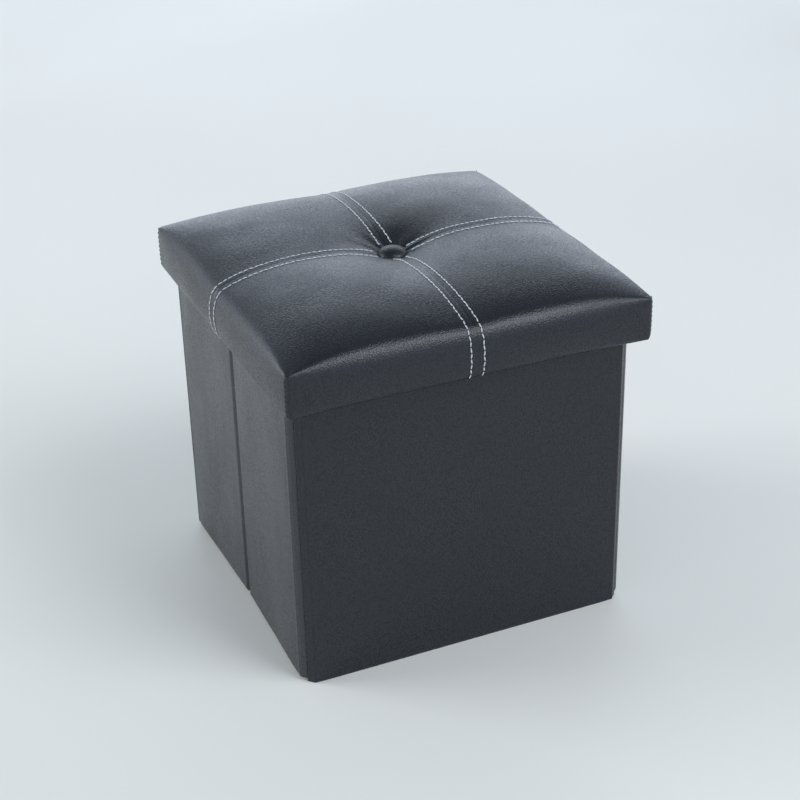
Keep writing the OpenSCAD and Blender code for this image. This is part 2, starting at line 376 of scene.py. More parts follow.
def makeFloor(name, colour):
    material, tree, shader, vector = newMaterial(name, {"Specular IOR Level": 0.35})
    cloud = addNoise(tree, vector, 1.4, 3).outputs["Fac"]
    shade = tuple(c * 0.94 for c in colour[:3]) + (1,)
    finishShader(tree, shader, mixColours(tree, cloud, shade, colour),
                 addRange(tree, cloud, 0.3, 0.7, 0.42, 0.55))
    return material


leather = makeLeather("black leather", leatherSettings)
sideLeather = makeLeather("black side leather", leatherSettings, sideWall=True)
felt = makeFelt("lining felt", (0.030, 0.032, 0.034, 1), (0.010, 0.011, 0.012, 1))
tape = makeCloth("ribbed tape", (0.016, 0.017, 0.018, 1), (0.004, 0.004, 0.005, 1), 0.0011, 0.00016)
fibreboard = makeFibreboard("fibreboard", (0.36, 0.23, 0.12, 1), (0.17, 0.10, 0.05, 1))
greyCard = makeFibreboard("grey card", (0.27, 0.23, 0.18, 1), (0.16, 0.13, 0.10, 1))
whiteThread = makeThread("white thread", (0.86, 0.88, 0.92, 1), (0.58, 0.60, 0.64, 1), 0.5)
blackThread = makeThread("black thread", (0.035, 0.036, 0.038, 1), (0.008, 0.008, 0.009, 1), 0.45)
cordThread = makeThread("tufting cord", (0.62, 0.61, 0.57, 1), (0.40, 0.39, 0.36, 1), 0.7)
plastic = makePlastic("grey plastic", (0.055, 0.055, 0.058, 1))
floorPaint = makeFloor("pale floor", lightSettings["floorColour"])
print("materials are ready")


def boxMm(node):
    low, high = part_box(node)
    return low * 1000, high * 1000


def lattice(columns, rows, place):
    bm = bmesh.new()
    bmesh.ops.create_grid(bm, x_segments=columns, y_segments=rows, size=0.5)
    for v in bm.verts:
        i = round((v.co.x + 0.5) * columns)
        j = round((v.co.y + 0.5) * rows)
        v.co = place(i, j)
    return bm


def faceTowards(bm, outward):
    # turns an open sheet over if its faces point away from outward(place)
    bm.normal_update()
    total = sum(f.normal.dot(outward(f.calc_center_median())) for f in bm.faces)
    if total < 0:
        bmesh.ops.reverse_faces(bm, faces=bm.faces[:])
        bm.normal_update()


def makePiece(bm, name, material, sharp=40):
    bm.normal_update()
    for f in bm.faces:
        f.smooth = True
    for e in bm.edges:
        e.smooth = e.calc_face_angle(0) < math.radians(sharp)
    bmesh.ops.scale(bm, vec=(metres, metres, metres), verts=bm.verts)
    mesh = bpy.data.meshes.new(name)
    bm.to_mesh(mesh)
    bm.free()
    piece = bpy.data.objects.new(name, mesh)
    scene.collection.objects.link(piece)
    mesh.materials.append(material)
    return piece


def addStitch(bm, centre, along, up, length, radius, flat=0.8):
    # one thread stitch: a long bead lying on the surface
    along = along.normalized()
    side = up.cross(along).normalized()
    top = along.cross(side)
    turn = Matrix((along, side, top)).transposed().to_4x4()
    size = Matrix.Diagonal((length / 2, radius, radius * flat, 1))
    bmesh.ops.create_uvsphere(bm, u_segments=7, v_segments=5, radius=1,
                              matrix=Matrix.Translation(centre) @ turn @ size @ Matrix.Rotation(
                                  math.radians(90), 4, "Y"))


def mirrored(point, sideX, sideY):
    # points are worked out at the front left corner and mirrored to the other three
    return Vector((point.x * -sideX, point.y * -sideY, point.z))


# sizes taken from the frame
frontLow = boxMm("front_leather")[0]
cornerLow, cornerHigh = boxMm("corner_front_left")
bindingLow, bindingHigh = boxMm("front_binding")
underLow, underHigh = boxMm("lid_lining")
washerLow, washerHigh = boxMm("tuft_washer")

outerX = -cornerLow.x
outerY = -frontLow.y
panelEnd = -frontLow.x
innerY = -boxMm("front_lining")[1].y
wallThick = outerY - innerY
innerX = outerX - wallThick
sideEnd = -cornerHigh.y - 0.3
topZ = bindingHigh.z
bindingZ = bindingLow.z
hemZ = boxMm("left_front_leather")[0].z
axisPast = 0.2        # how far the crease axis lies past the lining
creaseX = [-j["pos_m"][0] * 1000 for j in frame["joints"] if j["name"] == "left_crease"][0]
halfLength = math.hypot(sideEnd, creaseX - innerX)
halfLength = math.sqrt(halfLength ** 2 - (wallThick + axisPast) ** 2)
leanAngle = math.atan2(halfLength, -(wallThick + axisPast)) - math.atan2(sideEnd, innerX - creaseX)


wallSettings = {
    "leatherThick": 1.0,
    "liningThick": 0.5,
    "boardGap": 4.0,      # from the crease to the edge of the board
    "valley": 2.4,        # how deep the leather goes into the crease
    "seamDepth": 0.8,     # how deep the corner seams are
    "softEdge": 0.9,      # how far the leather falls away towards the edges of the boards
    "softReach": 15.0,
    "swellSide": 0.75,    # how uneven the leather lies on the folding sides
    "swellPanel": 0.28,
    "cell": 5.0,
    "underTape": 0.35,    # how far the leather goes in under the binding
    "seamBump": ((0.25, 0.35), (0.12, 1.0), (0.35, 2.3), (0.25, 3.7)),  # in from flat, and along, by a seam
    "seamStitch": (4.4, 3.1, 0.42),    # pitch, length and radius
    "bendFrom": (-139.6, -134.6),      # where the corner leather starts and ends its bend
    "bendTo": (-142.5, -130.3),
}


def sidePoint(u, depth):
    # a plan point on the left front half: u from the corner axis towards the crease, depth in from outside
    x = depth - wallThick
    return Vector((-innerX + x * math.cos(leanAngle) + u * math.sin(leanAngle),
                   -sideEnd - x * math.sin(leanAngle) + u * math.cos(leanAngle)))


def panelPoint(x, depth):
    return Vector((x, -outerY + depth))


def evenSteps(start, end, cell):
    count = max(1, round(abs(end - start) / cell))
    return [start + (end - start) * k / count for k in range(count + 1)]


cornerMid = Vector((-(outerX + panelEnd) / 2, -(outerY + sideEnd) / 2))
inward = Vector((1, 1)).normalized()


def besideSeam(sign):
    return [cornerMid + inward * wallSettings["seamDepth"]] + [
        cornerMid + inward * depth + Vector((along, -along)) * sign
        for depth, along in wallSettings["seamBump"]]


cornerPanel = besideSeam(1) + [Vector((-panelEnd - 0.5, -outerY + 0.75)),
                               Vector((-panelEnd + 0.4, -outerY + 0.2)), Vector((-panelEnd + 1.5, -outerY))]
cornerSide = besideSeam(-1) + [Vector((-outerX + 1.3, -sideEnd - 0.6)),
                               Vector((-outerX + 0.25, -sideEnd + 0.4)), sidePoint(1.5, 0.0)]
innerMid = cornerMid + inward * (1.5 + 0.05)
liningPanel = [innerMid, innerMid + Vector((1.8, -1.6)), Vector((-panelEnd - 1.0, -innerY - 1.9)),
               Vector((-panelEnd - 0.45, -innerY - 0.5)), Vector((-panelEnd + 0.4, -innerY - 0.05)),
               Vector((-panelEnd + 1.5, -innerY))]
liningSide = [innerMid, innerMid + Vector((-1.6, 1.8)), Vector((-innerX - 1.9, -sideEnd - 1.0)),
              Vector((-innerX - 0.5, -sideEnd - 0.45)), sidePoint(0.4, wallThick - 0.05),
              sidePoint(1.5, wallThick)]


def swell(point, z, amount):
    # how far the leather lies in from flat, in soft upright waves, nothing at the foot and the corners
    n = noise.noise(Vector((point.x * 0.021 + 7, point.y * 0.023 - 3, z * 0.0075)))
    n += 0.35 * noise.noise(Vector((point.x * 0.05 + 2, point.y * 0.055, z * 0.02 + 5)))
    return amount * min(1, max(0, 0.5 + n))


def panelPath(corner, depth, cell):
    # a plan path of the front wall, from seam to seam
    flat = [panelPoint(x, depth) for x in evenSteps(-panelEnd + 1.5, panelEnd - 1.5, cell)][1:-1]
    return corner + flat + [Vector((-p.x, p.y)) for p in reversed(corner)]


def panelOuter(cell):
    return panelPath(cornerPanel, 0, cell)


def panelInner(cell):
    return panelPath(liningPanel, wallThick, cell)


def creaseTurn():
    # how the leather turns in to the crease
    edge, valley = halfLength - wallSettings["boardGap"] + 0.35, wallSettings["valley"]
    return [sidePoint(edge, 0.5), sidePoint(halfLength - 2.2, valley * 0.62),
            sidePoint(halfLength - 1.0, valley * 0.92)]


def sideOuter(cell, toAxis):
    gap = wallSettings["boardGap"]
    flat = [sidePoint(u, 0) for u in evenSteps(1.5, halfLength - gap - 1.2, cell)][1:]
    turn = creaseTurn()
    turn = turn + [sidePoint(halfLength - 0.15, wallSettings["valley"])] if toAxis else turn[:1]
    return cornerSide + flat + [sidePoint(halfLength - gap - 0.3, 0.12)] + turn


def sideInner(cell, toAxis):
    end = halfLength - 0.15 if toAxis else halfLength - wallSettings["boardGap"] + 0.35
    flat = [sidePoint(u, wallThick) for u in evenSteps(1.5, end, cell)][1:]
    return liningSide + flat


def creaseStrip(points, depth):
    # from a half path at the front, across the axis, to its mirror image at the rear
    middle = Vector((-creaseX + axisPast + depth, 0))
    return points + [middle] + [Vector((p.x, -p.y)) for p in reversed(points)]


def liningTurn(*shorts):
    # points of the lining up to the crease, each this far short of the axis
    edge = halfLength - wallSettings["boardGap"] + 0.35
    return [sidePoint(u, wallThick) for u in [edge] + [halfLength - short for short in shorts]]


def uprightSheet(path, z0, z1, thick, outward, depthAt=None, rowCell=5.0, topTuck=0.0):
    zs = evenSteps(z0, z1, rowCell)
    zs = sorted(set(zs + [z0 + 0.8, z0 + 2.5, z1 - 1.5, z1 - 4.0]))
    normals = []
    for k, p in enumerate(path):
        ahead = path[min(k + 1, len(path) - 1)] - path[max(k - 1, 0)]
        normal = Vector((ahead.y, -ahead.x)).normalized()
        facing = outward(Vector((p.x, p.y, z0))).to_2d()
        normals.append(-normal if normal.dot(facing) < -0.01 else normal)

    def place(i, j):
        p, z = path[i], zs[j]
        tuck = 0.5 if j == 0 else (0.12 if j == 1 else 0)
        if topTuck and z > z1 - 3:
            tuck = topTuck
        inset = tuck + (depthAt(p, z, i) if depthAt else 0)
        q = p - normals[i] * inset
        return Vector((q.x, q.y, z))

    bm = lattice(len(path) - 1, len(zs) - 1, place)
    faceTowards(bm, outward)
    bmesh.ops.solidify(bm, geom=bm.faces[:], thickness=thick)
    return bm


def placeSide(bm, sideX, sideY):
    bmesh.ops.scale(bm, vec=(-sideX, -sideY, 1), verts=bm.verts)
    if sideX * sideY < 0:
        bmesh.ops.reverse_faces(bm, faces=bm.faces[:])
    return bm


def foot(sideY):
    return 0.0 if sideY < 0 else hemZ


def blendCorner(piece):
    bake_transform(piece)


def blendCrease(piece):
    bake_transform(piece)


def fallAway(distance, share=1.0):
    s = wallSettings
    return s["softEdge"] * share * max(0, 1 - max(0, distance) / s["softReach"]) ** 2


def panelWaves(path, amount):
    def depthAt(p, z, i):
        inset = panelEnd - abs(p.x)
        if inset < 0.3:
            return 0
        reach = min(1, max(0, inset / 18)) * min(1, z / 25)
        return swell(p, z, amount) * reach + fallAway(inset, 0.6 * min(1, inset / 1.5))
    return depthAt


def sideWaves(amount):
    def depthAt(p, z, i):
        along = p.y + sideEnd
        toBoard = halfLength - 5 - along
        if along < 0.3 or toBoard < 0:
            return 0
        reach = min(1, along / 12) * min(1, toBoard / 10) * min(1, z / 20)
        edges = fallAway(along, min(1, along / 1.5)) + fallAway(toBoard, 0.4 * min(1, toBoard / 3))
        return min(0.95, swell(p, z, amount) * reach + edges)
    return depthAt


walls = [("front", "front_panel", -1), ("back", "back_panel", 1)]
sides = [("left_front", -1, -1), ("left_rear", -1, 1), ("right_front", 1, -1), ("right_rear", 1, 1)]


def seamStitches(bm, plan, up, z0, z1):
    pitch, length, radius = wallSettings["seamStitch"]
    for k in range(int((z1 - z0) / pitch)):
        addStitch(bm, Vector((plan.x, plan.y, z0 + pitch * (k + 0.5))), Vector((0.12 * (-1) ** k, 0, 1)), up,
                  length, radius)


def buildWalls():
    s = wallSettings
    top = bindingZ + 0.4
    for name, body, sideY in walls:
        path = panelOuter(s["cell"])
        bm = uprightSheet(path, foot(sideY), top, s["leatherThick"] * 0.96, lambda c: Vector((0, -1, 0)),
                          panelWaves(path, s["swellPanel"]), topTuck=s["underTape"])
        skin = makePiece(placeSide(bm, -1, sideY), name + "_skin", leather)
        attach(skin, body)
        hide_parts(name + "_leather")
        path = panelInner(s["cell"] * 2)
        bm = uprightSheet(path, hemZ, top, s["liningThick"] * 0.9, lambda c: Vector((0, 1, 0)),
                          rowCell=12)
        cloth = makePiece(placeSide(bm, -1, sideY), name + "_felt", felt)
        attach(cloth, body)
        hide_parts(name + "_lining")
        for sideX in (-1, 1):
            bm = bmesh.new()
            middle = mirrored(Vector((cornerMid.x + 0.28, cornerMid.y + 0.28, 0)), sideX, sideY)
            seamStitches(bm, middle, Vector((sideX, sideY, 0)), foot(sideY) + 3, top - 8)
            thread = makePiece(bm, name + ("_left" if sideX < 0 else "_right") + "_corner_stitches",
                               blackThread, 180)
            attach(thread, body)
    for name, sideX, sideY in sides:
        toAxis = sideX > 0
        bm = uprightSheet(sideOuter(s["cell"], toAxis), hemZ, top, s["leatherThick"] * 0.96,
                          lambda c: Vector((-1, 0, 0)), sideWaves(s["swellSide"]), topTuck=s["underTape"])
        skin = makePiece(placeSide(bm, sideX, sideY), name + "_skin", sideLeather)
        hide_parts(name + "_leather")
        blendCorner(skin)
        bm = uprightSheet(sideInner(s["cell"] * 2, toAxis), hemZ, top, s["liningThick"] * 0.9,
                          lambda c: Vector((1, 0, 0)), rowCell=12)
        cloth = makePiece(placeSide(bm, sideX, sideY), name + "_felt", felt)
        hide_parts(name + "_lining")
        blendCorner(cloth)
    strip = creaseStrip(creaseTurn(), s["valley"])
    bm = uprightSheet(strip, hemZ, top, s["leatherThick"] * 0.9, lambda c: Vector((-1, 0, 0)))
    fold = makePiece(bm, "left_crease_skin", sideLeather)
    blendCrease(fold)
    strip = creaseStrip(liningTurn(1.5), wallThick)
    bm = uprightSheet(strip, hemZ, top, s["liningThick"] * 0.9, lambda c: Vector((1, 0, 0)), rowCell=12)
    fold = makePiece(bm, "left_crease_felt", felt)
    blendCrease(fold)


buildWalls()
print("walls are covered and lined")


bindingSettings = {
    "thick": 0.7,
    "cell": 9.0,
    "stitchPitch": 5.0,
    "stitchUp": 3.2,
    "stitchSink": 0.14,
    "creaseSink": 0.16,       # the rows lie flush where the halves fold together
    "creaseReach": 45.0,
}
rowStitch = (3.4, 0.38)       # length and radius of the stitches on tapes and hems


def pairedPath(outer, inner):
    # the same number of points on both paths, matched by their share of the length
    def shares(points):
        total, out = 0, [0]
        for a, b in zip(points, points[1:]):
            total += (b - a).length
            out.append(total)
        return [x / total for x in out]

    def at(points, marks, t):
        for k in range(len(marks) - 1):
            if t <= marks[k + 1] + 1e-9:
                span = marks[k + 1] - marks[k]
                return points[k].lerp(points[k + 1], (t - marks[k]) / span if span else 0)
        return points[-1]
    marks = shares(outer)
    innerMarks = shares(inner)
    return [(p, at(inner, innerMarks, t)) for p, t in zip(outer, marks)]


def bindingSheet(pairs):
    z0, z1 = bindingZ, topZ
    profile = [(0, z0), (0, z0 + 4), (0, z1 - 3), (0.03, z1 - 1.2), (0.14, z1 - 0.3), (0.32, z1), (0.68, z1),
               (0.86, z1 - 0.3), (0.97, z1 - 1.2), (1, z1 - 3), (1, z0 + 4), (1, z0)]

    def place(i, j):
        across, z = profile[j]
        a, b = pairs[i]
        p = a.lerp(b, across)
        return Vector((p.x, p.y, z))

    bm = lattice(len(pairs) - 1, len(profile) - 1, place)
    faceTowards(bm, lambda c: Vector((0, 0, 1)) if c.z > z1 - 0.2 else Vector((0, 0, 0)))
    bmesh.ops.solidify(bm, geom=bm.faces[:], thickness=bindingSettings["thick"])
    return bm


def bindingStitches(bm, points, outwardSign):
    # a row of stitches along the lower edge of the tape, on its outer or inner face
    s = bindingSettings
    carried = s["stitchPitch"] / 2
    for a, b in zip(points, points[1:]):
        step = b - a
        length = step.length
        if length < 1e-6:
            continue
        along = step / length
        out = Vector((along.y, -along.x)) * outwardSign
        while carried < length:
            p = a + along * carried
            p -= out * (s["stitchSink"] + s["creaseSink"] * max(0, 1 - abs(p.y) / s["creaseReach"]))
            addStitch(bm, Vector((p.x, p.y, bindingZ + s["stitchUp"])), Vector((along.x, along.y, 0.06)),
                      Vector((out.x, out.y, 0)), *rowStitch)
            carried += s["stitchPitch"]
        carried -= length


def buildBindings():
    cell = bindingSettings["cell"]
    for name, body, sideY in walls:
        outer, inner = panelOuter(cell), panelInner(cell)
        edge = makePiece(placeSide(bindingSheet(pairedPath(outer, inner)), -1, sideY), name + "_tape",
                         tape)
        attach(edge, body)
        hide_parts(name + "_binding")
        bm = bmesh.new()
        bindingStitches(bm, outer[6:-6], 1)
        bindingStitches(bm, inner[4:-4], -1)
        thread = makePiece(placeSide(bm, -1, sideY), name + "_tape_stitches", blackThread, 180)
        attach(thread, body)
    for name, sideX, sideY in sides:
        outer, inner = sideOuter(cell, sideX > 0), sideInner(cell, sideX > 0)
        edge = makePiece(placeSide(bindingSheet(pairedPath(outer, inner)), sideX, sideY), name + "_tape",
                         tape)
        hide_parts(name + "_binding")
        blendCorner(edge)
        bm = bmesh.new()
        bindingStitches(bm, [p for p in outer[7:] if p.y < -6], -1)
        bindingStitches(bm, [p for p in inner[5:] if p.y < -6], 1)
        thread = makePiece(placeSide(bm, sideX, sideY), name + "_tape_stitches", blackThread, 180)
        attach(thread, name + "_half")
    outer = creaseStrip(creaseTurn(), wallSettings["valley"])
    inner = creaseStrip(liningTurn(2.2, 1.0), wallThick)
    edge = makePiece(bindingSheet(list(zip(outer, inner))), "left_crease_tape", tape)
    blendCrease(edge)
    # the corner strips in the frame are shown by the skins and linings that meet at the corner seams
    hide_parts("corner_front_left")
    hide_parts("corner_front_right")
    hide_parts("corner_rear_left")
    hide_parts("corner_rear_right")


buildBindings()
print("wall tops are bound")


baseSettings = {
    "cell": 7.0,
    "cloth": 0.38,                   # thickness of the lining and the hinge tape
    "rowsAt": (2.5, 2.0),            # rows of stitches in from the tape's two edges
    "hingeStitch": (5.0, 3.4, 0.3),  # pitch, length and radius
    "tabStitch": (3.2, 2.4, 0.3),
}


def flatSheet(low, high, thick, cell, faceZ, wave=0.0):
    columns = max(2, round((high.x - low.x) / cell))
    rows = max(2, round((high.y - low.y) / cell))

    def place(i, j):
        x = low.x + (high.x - low.x) * i / columns
        y = low.y + (high.y - low.y) * j / rows
        edge = min(i, columns - i, j, rows - j)
        drop = 0.15 if edge == 0 else wave * (0.5 + 0.5 * noise.noise(Vector((x * 0.03, y * 0.03, 1))))
        z = high.z - drop if faceZ > 0 else low.z + drop
        return Vector((x, y, z))

    bm = lattice(columns, rows, place)
    faceTowards(bm, lambda c: Vector((0, 0, faceZ)))
    if thick:
        bmesh.ops.solidify(bm, geom=bm.faces[:], thickness=thick)
    return bm


def rowAlongX(bm, x0, x1, y, z, up, pitch, length, radius):
    for k in range(int((x1 - x0) / pitch)):
        addStitch(bm, Vector((x0 + pitch * (k + 0.5), y, z)), Vector((1, 0, 0)), up, length, radius)


def rowAlongY(bm, y0, y1, x, z, up, pitch, length, radius):
    for k in range(int((y1 - y0) / pitch)):
        addStitch(bm, Vector((x, y0 + pitch * (k + 0.5), z)), Vector((0, 1, 0)), up, length, radius)


def buildBase():
    s = baseSettings
    low, high = boxMm("base_lining")
    tabLow, tabHigh = boxMm("pull_tab")
    bm = flatSheet(low, high, 0, s["cell"], 1, 0.05)
    # the notch for the tab is cut from the cloth before it gets its thickness
    notchX, notchY = tabHigh.x + 1, tabLow.y
    for point, normal in (((-notchX, 0, 0), (1, 0, 0)), ((notchX, 0, 0), (1, 0, 0)),
                          ((0, notchY, 0), (0, 1, 0))):
        bmesh.ops.bisect_plane(bm, geom=bm.verts[:] + bm.edges[:] + bm.faces[:], plane_co=point,
                               plane_no=normal, dist=1e-4)
    inNotch = [f for f in bm.faces if abs(f.calc_center_median().x) < notchX
               and f.calc_center_median().y > notchY]
    bmesh.ops.delete(bm, geom=inNotch, context="FACES")
    bmesh.ops.solidify(bm, geom=bm.faces[:], thickness=s["cloth"])
    cloth = makePiece(bm, "base_felt", felt)
    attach(cloth, "base")
    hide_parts("base_lining")

    low, high = boxMm("base_hinge_tape")
    strip = makePiece(flatSheet(low, high, s["cloth"], s["cell"], 1, 0.06), "base_hinge_strip", tape)
    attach(strip, "base")
    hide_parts("base_hinge_tape")
    bm = bmesh.new()
    for y in (low.y + s["rowsAt"][0], high.y - s["rowsAt"][1]):
        rowAlongX(bm, low.x + 2, high.x - 2, y, high.z - 0.18, Vector((0, 0, 1)), *s["hingeStitch"])
    thread = makePiece(bm, "base_hinge_stitches", blackThread, 180)
    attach(thread, "base")

    low, high = boxMm("wall_hinge_tape")
    columns = round((high.x - low.x) / 8)

    def place(i, j):
        x = low.x + (high.x - low.x) * i / columns
        z = low.z + (high.z - low.z) * j / 4
        return Vector((x, high.y - (0.12 if j in (0, 4) else 0), z))

    bm = lattice(columns, 4, place)
    faceTowards(bm, lambda c: Vector((0, 1, 0)))
    bmesh.ops.solidify(bm, geom=bm.faces[:], thickness=high.y - low.y - 0.02)
    strip = makePiece(bm, "wall_hinge_strip", tape)
    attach(strip, "front_panel")
    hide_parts("wall_hinge_tape")
    bm = bmesh.new()
    for z in (low.z + s["rowsAt"][0], high.z - s["rowsAt"][1]):
        rowAlongX(bm, low.x + 2, high.x - 2, high.y - 0.02, z, Vector((0, 1, 0)), *s["hingeStitch"])
    thread = makePiece(bm, "wall_hinge_stitches", blackThread, 180)
    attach(thread, "front_panel")

    low, high = boxMm("pull_tab")
    bm = flatSheet(low, high, high.z - low.z, 2.0, 1, 0.1)
    rim = [e for e in bm.edges if e.calc_face_angle(0) > 1]
    bmesh.ops.bevel(bm, geom=rim, offset=0.3, offset_type="OFFSET", segments=2, profile=0.5,
                    affect="EDGES", material=-1)
    tab = makePiece(bm, "pull_tab_webbing", tape)
    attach(tab, "base")
    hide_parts("pull_tab")
    bm = bmesh.new()
    up = Vector((0, 0, 1))
    for y in (low.y + 2, high.y - 2):
        rowAlongX(bm, low.x + 2, high.x - 2, y, high.z, up, *s["tabStitch"])
    for x in (low.x + 2, high.x - 2):
        rowAlongY(bm, low.y + 2, high.y - 2, x, high.z, up, *s["tabStitch"])
    thread = makePiece(bm, "pull_tab_stitches", blackThread, 180)
    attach(thread, "base")


buildBase()
print("base is lined")


coverSettings = {
    "topEdge": (145.5, 147.5),     # half width and half depth where the top turns down
    "face": (155.0, 157.6),        # half width and half depth at the middle of the skirt
    "cornerFace": (151.0, 156.4),  # the same at the corners
    "cornerEdge": (149.0, 154.2),  # half width and half depth of the top at the corners
    "edgeZ": 291.0,
    "rise": 12.6,          # how far the top crowns above its edge
    "tilt": 1.6,           # how much higher the crown is at the back
    "dimple": 16.0,
    "dimpleReach": 30.0,
    "puff": 2.2,           # how far the quarters stand above the seams
    "gathers": 11,         # soft folds that run out from the button
    "gatherRise": 0.55,
    "cornerDrop": 7.8,
    "cornerRound": 2.2,
    "inner": 146.0,
    "pressure": 4.0,
    "steps": 20,
    "cap": 2.4,            # the most that the filling may push out
    "seamDepth": 0.15,
    "rowAt": 5.4,          # the stitch rows, out from the middle of each arm
    "rowDepth": 0.14,
    "cornerSeam": 0.4,
}
# each ring of the skirt: share of the way out from the top edge to the face, and height,
# at the middle of a side and then at a corner
skirtRings = [((0.38, 288.6), (0.55, 290.0)), ((0.66, 284.6), (0.90, 288.0)), ((0.86, 279.6), (1.00, 284.5)),
              ((0.96, 273.6), (1.00, 278.0)), ((1.00, 268.0), (1.00, 270.5)), ((0.98, 262.6), (1.00, 263.5)),
              ((0.91, 257.6), (0.99, 257.6)), ((0.80, 253.4), (0.96, 253.2)), ((0.63, 250.2), (0.84, 250.0)),
              ((0.42, 248.4), (0.50, 248.4))]
# the turned-in hem: half size and height
hemRings = [(148.4, 247.8), (147.0, 248.6), (146.1, 250.6), (146.0, 255.0), (146.0, 259.0), (146.5, 259.4)]


def gridMarks(reach):
    # marks close together by the arm seams and wider apart in the panels
    near = [0, 0.7, 1.5, 2.8, 4.4, 5.4, 6.6, 8.6, 11.5, 15, 19]
    count = round((reach - 24) / 5.2)
    far = [24 + (reach - 24) * k / count for k in range(count + 1)]
    half = near + far[:-1] + [reach - 3.0, reach]
    return [-m for m in reversed(half[1:])] + half


def topHeight(x, y, s):
    ax = min(1, abs(x) / s["topEdge"][0])
    ay = min(1, abs(y) / s["topEdge"][1])
    crown = (1 - ax ** 5) * (1 - ay ** 5)
    r = math.hypot(x, y)
    z = s["edgeZ"] + s["rise"] * crown
    z -= s["dimple"] * math.exp(-(r / s["dimpleReach"]) ** 1.3) * min(1, crown * 1.5)
    off = (1 - math.exp(-(x / 30) ** 2)) * (1 - math.exp(-(y / 30) ** 2))
    z += s["puff"] * off * (0.55 + 0.45 * crown)
    z -= s["cornerDrop"] * (ax * ay) ** 6
    z += s["tilt"] * (y / s["topEdge"][1]) * crown
    turn = math.atan2(y, x)
    fade = math.exp(-((r - 17) / 13) ** 2)
    z += s["gatherRise"] * fade * math.sin(s["gathers"] * turn + 1.3 * math.sin(3 * turn))
    z += 0.5 * noise.noise(Vector((x * 0.03, y * 0.03, 4)))
    return z


def roundCorner(x, y, halfX, halfY, r):
    # moves a point of a rectangle's corner square onto the rounded corner
    cx, cy = abs(x) - (halfX - r), abs(y) - (halfY - r)
    if cx > 0 and cy > 0:
        scale = max(cx, cy) / math.hypot(cx, cy)
        x = math.copysign(halfX - r + cx * scale, x)
        y = math.copysign(halfY - r + cy * scale, y)
    return x, y


def buildCover():
    s = coverSettings
    topX, topY = s["topEdge"]
    marksX, marksY = gridMarks(topX), gridMarks(topY)
    bm = lattice(len(marksX) - 1, len(marksY) - 1, lambda i, j: Vector((marksX[i], marksY[j], 0)))
    edges = [e for e in bm.edges if e.is_boundary]
    for k in range(len(skirtRings) + len(hemRings)):
        grown = bmesh.ops.extrude_edge_only(bm, edges=edges)["geom"]
        bmesh.ops.translate(bm, verts=[g for g in grown if isinstance(g, bmesh.types.BMVert)], vec=(0, 0, -1))
        edges = [g for g in grown if isinstance(g, bmesh.types.BMEdge)]
        edges = [e for e in edges if e.is_boundary and all(abs(v.co.z + k + 1) < 0.01 for v in e.verts)]
    held = {}
    bm.verts.index_update()
    for v in bm.verts:
        x, y, level = v.co.x, v.co.y, round(-v.co.z)
        sx, sy = x / topX, y / topY
        if level == 0:
            ax, ay = abs(sx), abs(sy)
            fullX = x + math.copysign((s["cornerEdge"][0] - topX) * ax ** 4 * ay ** 7, x)
            fullY = y + math.copysign((s["cornerEdge"][1] - topY) * ay ** 4 * ax ** 7, y)
            v.co = (fullX, fullY, topHeight(x, y, s))
            near = min(abs(x), abs(y))
            r = math.hypot(x, y)
            hold = max(math.exp(-(near / 7.0) ** 2), math.exp(-(r / 16) ** 2))
        elif level <= len(skirtRings):
            along = abs(sy) if abs(sx) >= abs(sy) else abs(sx)
            pinch = along ** 7
            (share, z), (cornerShare, cornerZ) = skirtRings[level - 1]
            share += (cornerShare - share) * pinch
            z += (cornerZ - z) * pinch
            halves = []
            for edge, cornerEdge, face, cornerFace in zip(s["topEdge"], s["cornerEdge"], s["face"],
                                                          s["cornerFace"]):
                edge += (cornerEdge - edge) * pinch
                face += (cornerFace - face) * along ** 5
                halves.append(edge + (face - edge) * share)
            halfX, halfY = halves
            px, py = roundCorner(sx * halfX, sy * halfY, halfX, halfY, s["cornerRound"])
            drop = topHeight(x, y, s) - s["edgeZ"]
            z += drop * max(0, 1 - level / 5.5)
            z += 0.7 * noise.noise(Vector((px * 0.02, py * 0.02, 9))) * (level / len(skirtRings))
            v.co = (px, py, z)
            near = min(abs(px), abs(py))
            hold = max(math.exp(-(near / 7.0) ** 2), along ** 12, 1 if level >= len(skirtRings) - 1 else 0)
        else:
            half, z = hemRings[level - 1 - len(skirtRings)]
            z += 0.5 * noise.noise(Vector((x * 0.02, y * 0.02, 9)))
            px, py = roundCorner(sx * half, sy * half, half, half, 2.5)
            v.co = (px, py, z)
            hold = 1
        held[v.index] = min(1, hold)
    bm.normal_update()
    faceTowards(bm, lambda c: Vector((c.x, c.y, 300)) * (1 if c.z > 262 else 0))
    cover = makePiece(bm, "lid_padding", leather, 180)
    swellCloth(cover, held, s)
    subdivide(cover, 1)
    carveSeams(cover, s)
    return cover


